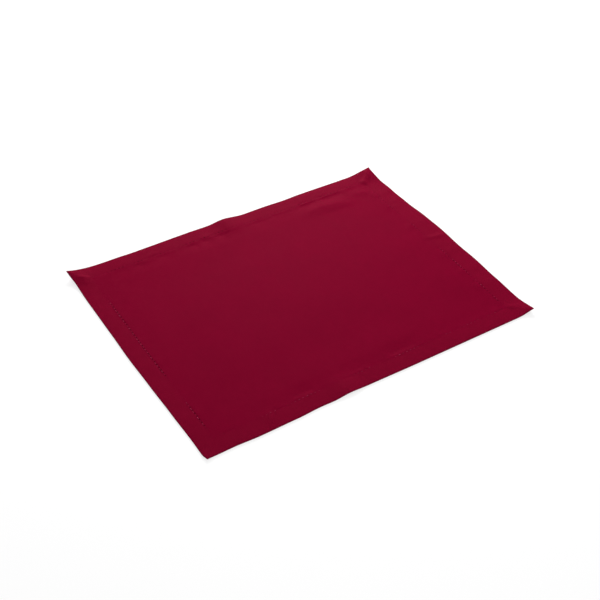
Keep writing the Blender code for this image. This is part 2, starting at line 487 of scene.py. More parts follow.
@dataclass(frozen=True)
class Rings:
    """Closed loops round the cloth, one for each place on the hem's section.

    A ring's inset from an edge is share * hem + inset + inset_gap * gap, and its height
    height + height_gap * gap, where hem is that edge's hem width and gap the air between
    layers at that place.  flat_share and flat_inset give its inset on the flat cut cloth, which
    is negative past the outer fold.  The last field is how strongly the fold's edge is painted
    lighter: partly its abrasion, partly a painted highlight.
    """

    share: Array
    inset: Array
    inset_gap: Array
    height: Array
    height_gap: Array
    flat_share: Array
    flat_inset: Array
    wear_and_highlight: Array


def ring_rows(rows: Sequence[Sequence[float]]) -> Rings:
    """Turn rows of eight numbers into Rings."""
    return Rings(*np.array(rows, dtype=float).T)


@dataclass(frozen=True)
class SideView:
    """Places as one side of the cloth sees them, in millimetres.

    half is half the side's length, and hem the width of its hem.  along is how far along the
    side a place is, inset how far in from the edge, inside how far in from the hem's inner
    edge, and seam from the stitching.
    """

    edge: Edge
    half: float
    hem: float
    along: Array
    inset: Array
    inside: Array
    seam: Array

    def between_hems(self, fade: float) -> Array:
        """1 along the side, easing to 0 where the hems of the sides next to it start."""
        return ease((self.half - self.hem - np.abs(self.along)) / fade)

    def place(self, column: str) -> Array:
        """Read a column of the places along this side's stitching."""
        return read_places(SEAM_PLACES[self.edge], column, self.along)


@dataclass(frozen=True, eq=False)
class Spots:
    """Places (u, v) of the flat rectangle, and what the sewn cloth is like at each of them.

    Heights are in millimetres over the lay.
    """

    cloth: PlacematCloth
    u: Array
    v: Array

    @cached_property
    def sides(self) -> list[SideView]:
        """The places as each side sees them.

        Returns:
            One view for each side.
        """
        views = []
        for edge in Edge:
            inset, hem = self.cloth.laid.inset(edge, self.u, self.v), self.cloth.hem.width(edge)
            inside = inset - hem
            views.append(SideView(edge, self.cloth.laid.half_along(edge), hem,
                                  self.u if edge.runs_along_x else self.v,
                                  inset, inside, inside + self.cloth.hem.stitch_in))
        return views

    @cached_property
    def level(self) -> Array:
        """Ring level: 0 at the edge, 1 at the hem's inner edge, 2 past the step."""
        return np.minimum.reduce([np.full(np.shape(self.u), 2.0)] + [
            np.where(side.inset < side.hem, side.inset / side.hem,
                     1.0 + side.inside / self.cloth.hem.step) for side in self.sides])

    @cached_property
    def seam(self) -> Array:
        """Signed distance from the line of stitching, positive towards the middle."""
        return np.minimum.reduce([side.seam for side in self.sides])

    @cached_property
    def gap(self) -> Array:
        """Air between the hem's layers: uneven along the hem, and fullest halfway across it.

        Returns:
            The gap at each place, in millimetres.
        """
        uneven = wander(self.u, self.cloth.uneven.gap_x) + wander(self.v, self.cloth.uneven.gap_y)
        full = np.sin(math.pi * np.clip(self.level, 0.0, 1.0))
        least = self.cloth.uneven.least_gap
        return self.cloth.hem.gap * (1.0 + uneven) * (least + (1.0 - least) * full)

    @cached_property
    def squeeze(self) -> Array:
        """Share of the layers' full height: 1, and less along the stitching.

        Returns:
            The share at each place.
        """
        hem = self.cloth.hem
        depth = np.zeros(np.shape(self.u))
        for side in self.sides:
            uneven = 1.0 + wander(side.along, self.cloth.uneven.pinch)
            depth = np.maximum(depth, hem.side(side.edge).pinch * uneven
                               * bell(side.seam, hem.pinch_spread))
        return 1.0 - depth * bell(self.seam, 3.0 * hem.pinch_spread)

    @cached_property
    def relief(self) -> Array:
        """Small heights over the lay: the seam's groove, creases, puckers and ruffles.

        A pucker is a swell along the seam times a rise that peaks a little inside the
        stitching.  Ruffles are slanted cosine waves, stronger and weaker along the seam, that
        die out on both sides of it.

        Returns:
            The height that they add at each place, in millimetres.
        """
        uneven, hem = self.cloth.uneven, self.cloth.hem
        seam_fade, fold_fade = uneven.pucker_hem_fades
        total = hem.groove * bell(self.seam, hem.pinch_spread)
        total += ridge_height(CREASES, self.u, self.v)
        for side in self.sides:
            seam, peak = side.seam, uneven.pucker_peak
            body_side = ease(seam / peak) * fading(seam - peak, uneven.pucker_reach)
            hem_side = uneven.pucker_on_hem * ease(-seam / seam_fade) * ease(
                (seam + side.hem) / fold_fade)
            felt = side.between_hems(uneven.pucker_fade) * np.where(
                seam > 0.0, body_side, hem_side)
            phase = (side.along + uneven.ruffle_slant * seam) / uneven.ruffle_wavelength
            phase = phase + wander(side.along, uneven.ruffle_phase)
            strength = uneven.ruffle_mean + wander(side.along, uneven.ruffle_strength)
            total += (uneven.ruffle_height * np.clip(strength, 0.0, 1.0) * felt
                      * 0.5 * (1.0 + np.cos(2.0 * math.pi * phase)))
            for pucker in PUCKERS:
                if pucker.edge is side.edge:
                    total += pucker.height * felt * swell(side.along - pucker.along,
                                                          pucker.half_length)
        return total + self.mitres + self.body_waves + self.floating

    @cached_property
    def floating(self) -> Array:
        """How far the body floats over the plain step inside the hem.

        The hem's rise times (a long smooth step less the plain one), less for each side the
        share that drops at once there, which comes and goes along the stitching.

        Returns:
            The height at each place, in millimetres.
        """
        hem, fade = self.cloth.hem, self.cloth.uneven.drop_fade
        rise = 2.0 * hem.cloth + 2.0 * self.gap
        inside = self.seam - hem.stitch_in
        total = ease(1.0 - inside / hem.float_reach) - ease(1.0 - inside / hem.step)
        for side in self.sides:
            total -= side.place("drop") * side.between_hems(fade) * (
                ease(1.0 - side.inside / hem.drop_fade)
                - ease(1.0 - side.inside / hem.drop_reach))
        return rise * total

    @cached_property
    def body_waves(self) -> Array:
        """Broad low waves over the body, where the cloth doesn't quite touch the table.

        Returns:
            The height at each place, in millimetres.
        """
        uneven = self.cloth.uneven
        inside = ease((self.level - uneven.body_level) / uneven.body_level)
        waves = 1.0 + wander(self.u + uneven.body_x_slant * self.v, uneven.body_x) + wander(
            self.v + uneven.body_y_slant * self.u, uneven.body_y)
        return uneven.body_lift * inside * waves

    @cached_property
    def mitres(self) -> Array:
        """The folded corners' extra layers: a thin bell across each corner's diagonal.

        Returns:
            The height at each place, in millimetres.
        """
        uneven = self.cloth.uneven
        total = np.zeros(np.shape(self.u))
        near, right, far, left = self.sides
        for side in (left, right):
            for end in (near, far):
                across, down = side.inset / side.hem, end.inset / end.hem
                along = 0.5 * (across + down)
                off = (across - down) * 0.5 * (side.hem + end.hem)
                total += (uneven.mitre_height * bell(off, uneven.mitre_spread)
                          * ease(along / uneven.mitre_fade)
                          * ease((uneven.mitre_end - along) / uneven.mitre_fade))
        return total

    @cached_property
    def needle_marks(self) -> Array:
        """What the stitching does to the cloth's face, for its finish to paint shade in the needle
        holes and a sheen on the hems.

        Returns:
            With three numbers last: stitches along the nearest side, millimetres in from its
            stitching, and how hard it pulls there, from 0 to 1.
        """
        hem = self.cloth.hem
        marks = np.zeros((*np.shape(self.u), 3))
        nearest = np.full(np.shape(self.u), np.inf)
        for side in self.sides:
            low, high, stitches = self.cloth.seam_run(side.edge)
            # pull sets how dark the painted shade in the needle holes is
            pull = np.clip(side.place("slack") + side.place("drop"), 0.0, 1.0)
            pull = (hem.side(side.edge).pull * pull * ease((side.along - low) / hem.pull_fade)
                    * ease((high - side.along) / hem.pull_fade))
            here = side.seam < nearest
            nearest = np.where(here, side.seam, nearest)
            row = np.stack([(side.along - low) * stitches / (high - low), side.seam, pull],
                           axis=-1)
            marks = np.where(here[..., None], row, marks)
        return marks

    def laid(self, height: Array) -> Array:
        """Points at a height over the lay, in millimetres, with x, y and z last."""
        x, y, lay = self.cloth.laid.lay(self.u, self.v)
        return np.stack([x, y, lay + height], axis=-1)

    def face(self) -> Array:
        """Points of the face: one layer over the lay in the body, and three in the hem.

        Returns:
            The points, in millimetres, with x, y and z last.
        """
        rise = ease(2.0 - self.level)
        layers = self.cloth.hem.cloth * (1.0 + 2.0 * rise) + 2.0 * rise * self.gap
        return self.laid(layers * self.squeeze + self.relief)

    def underside(self) -> Array:
        """Points of the hem's underside, in millimetres, with x, y and z last."""
        return self.laid(self.relief)


def half_turn(start: float, steps: int) -> Iterator[tuple[float, float, float]]:
    """Go half a turn round a fold.

    Args:
        start: 0.5 to go round from above, and -0.5 from below.
        steps: how many places there are on the fold.

    Yields:
        Each place's turn, from 0.5 to -0.5 or back, and its cosine and sine.
    """
    for turn in np.linspace(start, -start, steps):
        yield turn, math.cos(math.pi * turn), math.sin(math.pi * turn)


@dataclass
class PlacematCloth:
    """The cloth with its four hems: one sheet, turned under twice all round."""

    laid: LaidCloth
    hem: HemSection
    uneven: Unevenness
    spacing: float = 2.6            # between points along the sides and in the body
    corner_stations: tuple[float, ...] = (0.0, 0.5, 1.1, 1.9, 3.0, 4.6, 6.6)
    step_stations: tuple[float, ...] = (1.0, 0.87, 0.74, 0.61, 0.48, 0.36, 0.25, 0.16, 0.09, 0.04)
    beside_seam: tuple[float, float] = (0.6, 1.4)   # places past the stitching, on the hem
    hem_top: tuple[float, ...] = (0.82, 0.66, 0.50, 0.34, 0.20, 0.11)   # shares of the hem
    hem_bottom: tuple[float, ...] = (0.14, 0.35, 0.6, 0.85)
    turned_in: tuple[float, ...] = (0.75, 0.4)
    lining_bottom: tuple[float, ...] = (0.75, 0.45, 0.15)
    lining_top: tuple[float, ...] = (0.11, 0.34, 0.66)
    fold_steps: int = 7
    inner_fold_steps: int = 5
    wrong_side_fold_steps: int = 3
    wrong_side_offset: float = 450.0    # of the wrong side in the UV map, from the right side

    def cut_size(self) -> tuple[float, float]:
        """Length and width of the flat piece that the cloth is sewn from, in millimetres."""
        turned = self.hem.turned_under
        return (self.laid.length + turned(Edge.LEFT) + turned(Edge.RIGHT),
                self.laid.width + turned(Edge.NEAR) + turned(Edge.FAR))

    def seam_run(self, edge: Edge) -> tuple[float, float, int]:
        """Where one side's stitching runs.

        Args:
            edge: the side.

        Returns:
            Where the stitching starts and ends along the side, and how many stitches it has.
        """
        neighbours = (Edge.LEFT, Edge.RIGHT) if edge.runs_along_x else (Edge.NEAR, Edge.FAR)
        half = self.laid.half_along(edge)
        low = -half + self.hem.width(neighbours[0]) - self.hem.stitch_in
        high = half - self.hem.width(neighbours[1]) + self.hem.stitch_in
        return low, high, round((high - low) / self.hem.stitch_pitch)

    # ---- the section carried round the cloth

    def section(self) -> Rings:
        """The closed section: the right side from the step to the raw edge, then the wrong side.

        Each row holds the eight columns of Rings.

        Returns:
            Rings in order, from the right side's inner ring to the wrong side's inner ring.
        """
        cloth, seam, raw = self.hem.cloth, self.hem.stitch_in, self.hem.raw_edge
        fold = 1.5 * cloth              # inset of the outer fold's centre, plus one gap
        inner = 0.5 * cloth             # radius of the wrong side in the outer fold
        close, far = (-seam - past for past in self.beside_seam)
        hem_top, hem_bottom, turned_in, lining = (
            [(share, 0.0) for share in shares] for shares in (
                self.hem_top, self.hem_bottom, self.turned_in, self.lining_top))
        hem_top = [*((1.0, inset) for inset in (0.0, -0.5 * seam, -seam, close, far)), *hem_top]
        hem_bottom += [(1.0, close), (1.0, -seam)]
        turned_in += [(0.0, raw)]
        lining += [(1.0, far), (1.0, -seam), (1.0, 0.0)]
        steps = [(share * self.hem.step, float(ease(1.0 - share)))
                 for share in self.step_stations]

        right_side = [
            *((1, inset, 0, cloth * (1 + 2 * rise), 2 * rise, 1, inset, 0)
              for inset, rise in steps),
            *((share, inset, 0, 3 * cloth, 2, share, inset, 0) for share, inset in hem_top),
            # round the outer fold the last number, cos, lightens its outer face most: abrasion and
            # painted highlight
            *((0, fold * (1 - cos), 1 - cos, fold * (1 + sin), 1 + sin, 0, 2.0 * turn * fold, cos)
              for turn, cos, sin in half_turn(0.5, self.fold_steps)),
            *((share, inset, 0, 0, 0, -share, -inset, 0) for share, inset in hem_bottom),
            *((1, cloth * (cos - 1), 0.5 * (cos - 1), cloth * (1 + sin), 0.5 * (1 + sin),
               -1, -2.0 * turn * cloth, 0)
              for turn, cos, sin in half_turn(-0.5, self.inner_fold_steps)),
            *((share, inset, 0, 2 * cloth, 1, share - 2, inset, 0)
              for share, inset in turned_in),
        ]
        wrong_side = [
            *((share, inset, 0, cloth, 1, share - 2, inset, 0)
              for share, inset in turned_in[::-1]),
            *((1, -cloth, 0.5 * (cos - 1), cloth, 0.5 * (1 + sin), -1, -0.5 * turn, 0)
              for turn, cos, sin in half_turn(0.5, self.wrong_side_fold_steps)),
            *((share, 0, 0, cloth, 0, -share, 0, 0) for share in self.lining_bottom),
            *((0, fold - inner * cos, 1 - cos, fold + inner * sin, 1 + sin, 0, 0.1 * turn, 0)
              for turn, cos, sin in half_turn(-0.5, self.wrong_side_fold_steps + 2)),
            *((share, inset, 0, 2 * cloth, 2, share, inset, 0) for share, inset in lining),
            *((1, inset, 0, 2 * cloth * rise, 2 * rise, 1, inset, 0)
              for inset, rise in steps[::-1]),
        ]
        return ring_rows(right_side + wrong_side)

    def side_stations(self, side: float) -> Array:
        """Places along a side, close at both corners and even between.

        Args:
            side: the side's length, in millimetres.

        Returns:
            The places as shares of the side, from 0 to 1.
        """
        close = np.array(self.corner_stations)
        cells = round((side - 2 * close[-1]) / self.spacing)
        even = np.linspace(close[-1], side - close[-1], cells + 1)[1:-1]
        return np.concatenate([close, even, side - close[::-1]]) / side

    def ring_spots(self, rings: Rings, at_x: Array, at_y: Array, gap: Array | float) -> Spots:
        """Place every ring's points in the flat rectangle.

        Args:
            rings: the section.
            at_x: share along X of each point of a ring.
            at_y: share along Y of each point of a ring.
            gap: the air between the hem's layers at each point.

        Returns:
            The places, of shape (rings, points of a ring).
        """
        half_x, half_y = self.laid.length / 2, self.laid.width / 2
        near, right, far, left = (
            (rings.share * self.hem.width(edge) + rings.inset)[:, None]
            + rings.inset_gap[:, None] * gap for edge in Edge)
        low_x, high_x, low_y, high_y = -half_x + left, half_x - right, -half_y + near, half_y - far
        return Spots(self, low_x + (high_x - low_x) * at_x, low_y + (high_y - low_y) * at_y)

    def build(self) -> bpy.types.Object:
        """Build the sheet: the section carried round the cloth and the two middle panels.

        Returns:
            The cloth's object, with a UV map of the flat cut cloth in metres.
        """
        share_x = self.side_stations(self.laid.length)
        share_y = self.side_stations(self.laid.width)
        across, down = len(share_x) - 1, len(share_y) - 1
        around = 2 * (across + down)
        low_x, low_y, high_x, high_y = (fill(count) for fill in (np.zeros, np.ones)
                                        for count in (across, down))
        at_x = np.concatenate([share_x[:-1], high_y, share_x[:0:-1], low_y])
        at_y = np.concatenate([low_x, share_y[:-1], high_x, share_y[:0:-1]])
        side = np.repeat(np.arange(4), [across, down, across, down])

        rings = self.section()
        at_rings = self.ring_spots(rings, at_x, at_y, self.hem.gap)
        at_rings = self.ring_spots(rings, at_x, at_y, at_rings.gap)
        height = rings.height[:, None] + rings.height_gap[:, None] * at_rings.gap
        ring_points = at_rings.laid(at_rings.relief + height * at_rings.squeeze)
        ring_marks = at_rings.needle_marks.copy()
        ring_marks[int(np.argmax(rings.share == 0.0)):, :, 2] = 0.0

        u, v = at_rings.u, at_rings.v
        body = Spots(self, *np.meshgrid(
            u[0, 0] + (u[0, across] - u[0, 0]) * share_x,
            v[0, 0] + (v[0, across + down] - v[0, 0]) * share_y, indexing="ij"))
        index = np.arange(u.size).reshape(u.shape)
        points, quads = [ring_points.reshape(-1, 3)], [self.ring_quads(index)]
        flats = [self.ring_corner_flats(rings, u, v, side)]
        inside_count = (across - 1) * (down - 1)
        for panel, (ring, thickness, wrong_side) in enumerate((
            (index[0], self.hem.cloth, False), (index[-1], 0.0, True),
        )):
            table = self.panel_table(ring, across, down, u.size + panel * inside_count)
            points.append(body.laid(body.relief + thickness)[1:-1, 1:-1].reshape(-1, 3))
            faces, flat = cell_corners(table), cell_corners(np.stack([body.u, body.v], axis=-1))
            if wrong_side:
                faces, flat = faces[:, :, ::-1], flat[:, :, ::-1] + [0.0, self.wrong_side_offset]
            quads.append(faces.reshape(-1, 4))
            flats.append(flat.reshape(-1, 4, 2))
        mesh = mesh_from_quads("hemmed_cloth", np.concatenate(points), np.concatenate(quads),
                               np.concatenate(flats))
        # how strongly each point is painted lighter at the outer fold: partly abrasion, partly a
        # painted highlight
        add_point_attribute(mesh, "edge_wear_and_highlight", np.concatenate(
            [np.repeat(rings.wear_and_highlight, around), np.zeros(2 * inside_count)]))
        add_point_attribute(mesh, "needle_marks", np.concatenate(
            [ring_marks.reshape(-1, 3), np.zeros((2 * inside_count, 3))]))
        return link_piece("hemmed_cloth", mesh)

    @staticmethod
    def panel_table(ring: Array, across: int, down: int, first: int) -> Array:
        """Index table of a middle panel whose rim is a ring of the section.

        Args:
            ring: the ring's indices, once round the cloth.
            across: cells along X.
            down: cells along Y.
            first: index of the first point inside the rim.

        Returns:
            The indices, of shape (across + 1, down + 1).
        """
        table = np.empty((across + 1, down + 1), dtype=int)
        table[1:-1, 1:-1] = first + np.arange((across - 1) * (down - 1)).reshape(
            across - 1, down - 1)
        table[:-1, 0] = ring[:across]
        table[-1, :-1] = ring[across:across + down]
        table[:0:-1, -1] = ring[across + down:2 * across + down]
        table[0, :0:-1] = ring[2 * across + down:]
        return table

    @staticmethod
    def ring_quads(index: Array) -> Array:
        """Quads between each ring and the next, facing out of the sheet."""
        after = np.roll(index, -1, axis=1)
        return np.stack([index[:-1], index[1:], after[1:], after[:-1]], axis=-1).reshape(-1, 4)

    def ring_corner_flats(self, rings: Rings, u: Array, v: Array, side: Array) -> Array:
        """Places on the flat cut cloth of every ring quad's four corners.

        Each side of the cloth unrolls outwards on its own, so that the weave runs on through
        the folds and meets the next side's at the mitre.

        Args:
            rings: the section.
            u: place along X of each point of each ring.
            v: place along Y of each point of each ring.
            side: number of the side that each quad round the cloth belongs to.

        Returns:
            The places, in millimetres, of shape (quads, 4, 2).
        """
        half = (self.laid.length / 2, self.laid.width / 2)
        raw = int(np.argmin(rings.flat_share * 100 + rings.flat_inset))
        flats = np.empty((len(rings.share) - 1, u.shape[1], 4, 2))
        here, after = (u, v), (np.roll(u, -1, axis=1), np.roll(v, -1, axis=1))
        this_ring, next_ring = slice(None, -1), slice(1, None)
        for number, edge in enumerate(Edge):
            on_side = side == number
            along, out = (0, 1) if edge.runs_along_x else (1, 0)
            inset = (rings.flat_share * self.hem.width(edge) + rings.flat_inset)[:, None]
            unrolled = edge.value[out] * (half[out] - inset)
            for corner, (row, place) in enumerate((
                (this_ring, here), (next_ring, here), (next_ring, after), (this_ring, after),
            )):
                flats[:, on_side, corner, along] = place[along][row][:, on_side]
                flats[:, on_side, corner, out] = unrolled[row]
        flats[raw + 1:] += [0.0, self.wrong_side_offset]
        return flats.reshape(-1, 4, 2)


# ------------------------------------------------------------------ meshes and pieces

def cell_corners(table: Array) -> Array:
    """What a grid holds at the four corners of every cell, in order round the cell."""
    return np.stack([table[:-1, :-1], table[1:, :-1], table[1:, 1:], table[:-1, 1:]], axis=2)


def mesh_from_quads(name: str, points: Array, quads: Array, flats: Array) -> bpy.types.Mesh:
    """Write quads into a smooth-shaded mesh.

    Args:
        name: the mesh's name.
        points: (n, 3) points, in millimetres.
        quads: (m, 4) indices.
        flats: (m, 4, 2) places of each corner on the flat cloth, in millimetres.

    Returns:
        The mesh, in metres, with a UV map where one unit is one metre.
    """
    mesh = bpy.data.meshes.new(name)
    mesh.vertices.add(len(points))
    mesh.vertices.foreach_set("co", (points * MM).ravel())
    mesh.loops.add(quads.size)
    mesh.loops.foreach_set("vertex_index", quads.ravel().astype(np.int32))
    mesh.polygons.add(len(quads))
    mesh.polygons.foreach_set("loop_start", np.arange(0, quads.size, 4, dtype=np.int32))
    mesh.update(calc_edges=True)
    layer = mesh.uv_layers.new(name=UV_MAP)
    low = flats.reshape(-1, 2).min(axis=0) - UV_MARGIN
    layer.uv.foreach_set("vector", ((flats - low) * MM).ravel().astype(np.float32))
    mesh.validate()
    mesh.shade_smooth()
    return mesh


def add_point_attribute(mesh: bpy.types.Mesh, name: str, values: Array) -> None:
    """Store something for each point of a mesh, for a material to read.

    Args:
        mesh: the mesh.
        name: the attribute's name.
        values: one number for each point, or one row of three.
    """
    if values.ndim == 1:
        attribute = mesh.attributes.new(name, "FLOAT", "POINT")
        attribute.data.foreach_set("value", values.astype(np.float32))
    else:
        attribute = mesh.attributes.new(name, "FLOAT_VECTOR", "POINT")
        attribute.data.foreach_set("vector", values.ravel().astype(np.float32))


def link_piece(name: str, mesh: bpy.types.Mesh) -> bpy.types.Object:
    """Make an object of a mesh, at the origin, and put it in the scene.

    Args:
        name: the object's name.
        mesh: its mesh.

    Returns:
        The object.
    """
    piece = bpy.data.objects.new(name, mesh)
    bpy.context.scene.collection.objects.link(piece)
    return piece


# ------------------------------------------------------------------ stitching

class StitchFace(Enum):
    """Which face of the hem a line of lockstitch shows on."""

    TOP = "top"
    UNDER = "under"


@dataclass
class HemStitching:
    """The lockstitch round the cloth: short arched lengths of thread, nose to tail."""

    cloth: PlacematCloth
    shown: float = 0.5              # share of the pitch where the thread is out of the cloth
    thread: float = 0.5             # thread diameter
    arch: float = 0.17              # how far the thread's middle stands off the cloth
    arch_power: float = 0.6
    buried: float = 0.22            # how deep its ends go
    bury_power: float = 0.35
    end_width: float = 0.62         # of its ends, to its middle
    end_power: float = 0.5
    mean_slack: float = 0.62        # how slack it is where it stands up
    sink: float = 0.28              # how far a tight stitch is drawn into the cloth
    puff: float = 0.8               # how much fuller the thread is where it is slack
    uneven: Waves = ((11.9, 0.3, 0.2), (8.3, 0.8, 0.2))
    drift: Waves = ((47.0, 0.2, 0.132), (11.0, 0.4, 0.088))
    sections: int = 9
    sides: int = 6                  # round the thread; the end caps are made for six

    def side_run(self, edge: Edge, face: StitchFace) -> tuple[Array, Array]:
        """Middle lines of one side's stitches, on one face.

        A stitch's line runs along the seam.  Its height over the cloth is the arch times a
        power of the sine of the way along it, less the buried depth at both ends.

        Args:
            edge: the side.
            face: the face of the hem that the stitches lie on.

        Returns:
            The lines, of shape (stitches, sections, 3), and how slack each stitch is.
        """
        hem, laid = self.cloth.hem, self.cloth.laid
        way, top = self.way, face is StitchFace.TOP
        rise = np.sin(math.pi * way)
        off = self.arch * rise ** self.arch_power - self.buried * (1.0 - rise ** self.bury_power)
        low, high, stitches = self.cloth.seam_run(edge)
        starts = low + (high - low) * np.arange(stitches) / stitches
        along = starts[:, None] + hem.stitch_pitch * (0.5 + self.shown * (way - 0.5))[None, :]
        if not top:
            along = along + 0.5 * hem.stitch_pitch
        slack = np.zeros((stitches, 1))
        if top:
            slack[:, 0] = read_places(SEAM_PLACES[edge], "slack", starts) * (
                self.mean_slack + wander(starts, self.uneven))
        drift = np.broadcast_to(wander(along[:, :1], self.drift), along.shape)
        inset = hem.width(edge) - hem.stitch_in + drift
        half = laid.width / 2 if edge.runs_along_x else laid.length / 2
        fixed = (half - inset) * sum(edge.value)
        spots = Spots(self.cloth, *((along, fixed) if edge.runs_along_x else (fixed, along)))
        line = spots.face() if top else spots.underside()
        line[..., 2] += off - self.sink * (1.0 - slack) if top else self.sink - off
        return line, slack

    @property
    def way(self) -> Array:
        """Shares of the way along a stitch, one for each section."""
        return np.linspace(0.0, 1.0, self.sections)

    def build(self, face: StitchFace) -> bpy.types.Object:
        """Build one face's stitches: a ring of points carried along each stitch's line.

        Args:
            face: the face of the hem that the stitches lie on.

        Returns:
            The stitches' object.
        """
        runs = {edge: self.side_run(edge, face) for edge in Edge}
        line = np.concatenate([line for line, _ in runs.values()])
        slack = np.concatenate([slack for _, slack in runs.values()])[:, :, None, None]
        across = np.concatenate([np.broadcast_to([*edge.value, 0.0], line.shape)
                                 for edge, (line, _) in runs.items()])
        tangent = unit(np.gradient(line, axis=1))
        up = unit(np.cross(tangent, across))
        side = np.cross(up, tangent)
        angle = 2.0 * math.pi * np.arange(self.sides) / self.sides
        narrow = self.end_width + (1.0 - self.end_width) * (
            np.sin(math.pi * self.way) ** self.end_power)
        radius = 0.5 * self.thread * (1.0 + self.puff * slack) * narrow[None, :, None, None]
        ring = line[:, :, None, :] + radius * (
            np.cos(angle)[:, None] * side[:, :, None, :] + np.sin(angle)[:, None]
            * up[:, :, None, :])
        mesh = self.tubes(ring, f"stitches_{face.value}")
        add_point_attribute(mesh, "slack", np.repeat(slack.ravel(), self.sections * self.sides))
        return link_piece(mesh.name, mesh)

    def tubes(self, ring: Array, name: str) -> bpy.types.Mesh:
        """Close rings of points (stitch, section, side, xyz) into capped tubes.

        Args:
            ring: the points, in millimetres.
            name: the mesh's name.

        Returns:
            The tubes' mesh; its UV map runs along each stitch and round the thread.
        """
        count, sections, sides = ring.shape[:3]
        index = np.arange(count * sections * sides).reshape(count, sections, sides)
        after = np.roll(index, -1, axis=2)
        walls = np.stack([index[:, :-1], after[:, :-1], after[:, 1:], index[:, 1:]], axis=-1)
        first, last = index[:, 0], index[:, -1]
        caps = np.concatenate([first[:, [0, 3, 2, 1]], first[:, [0, 5, 4, 3]],
                               last[:, [0, 1, 2, 3]], last[:, [0, 3, 4, 5]]])
        pitch = self.cloth.hem.stitch_pitch
        start = (np.arange(sections - 1) * pitch / sections)[None, :, None] + (
            np.arange(count) * pitch)[:, None, None]
        flats = np.empty((*walls.shape, 2))
        flats[..., 0] = start[..., None] + np.array([0.0, 0.0, 1.0, 1.0]) * (pitch / sections)
        flats[..., 1] = (np.arange(sides) * self.thread)[:, None] + np.array(
            [0.0, 1.0, 1.0, 0.0]) * self.thread
        return mesh_from_quads(
            name, ring.reshape(-1, 3), np.concatenate([walls.reshape(-1, 4), caps]),
            np.concatenate([flats.reshape(-1, 4, 2), np.zeros((len(caps), 4, 2))]))


# ------------------------------------------------------------------ finishes

Feed = bpy.types.NodeSocket | float | tuple[float, ...]     # an output, or a plain value


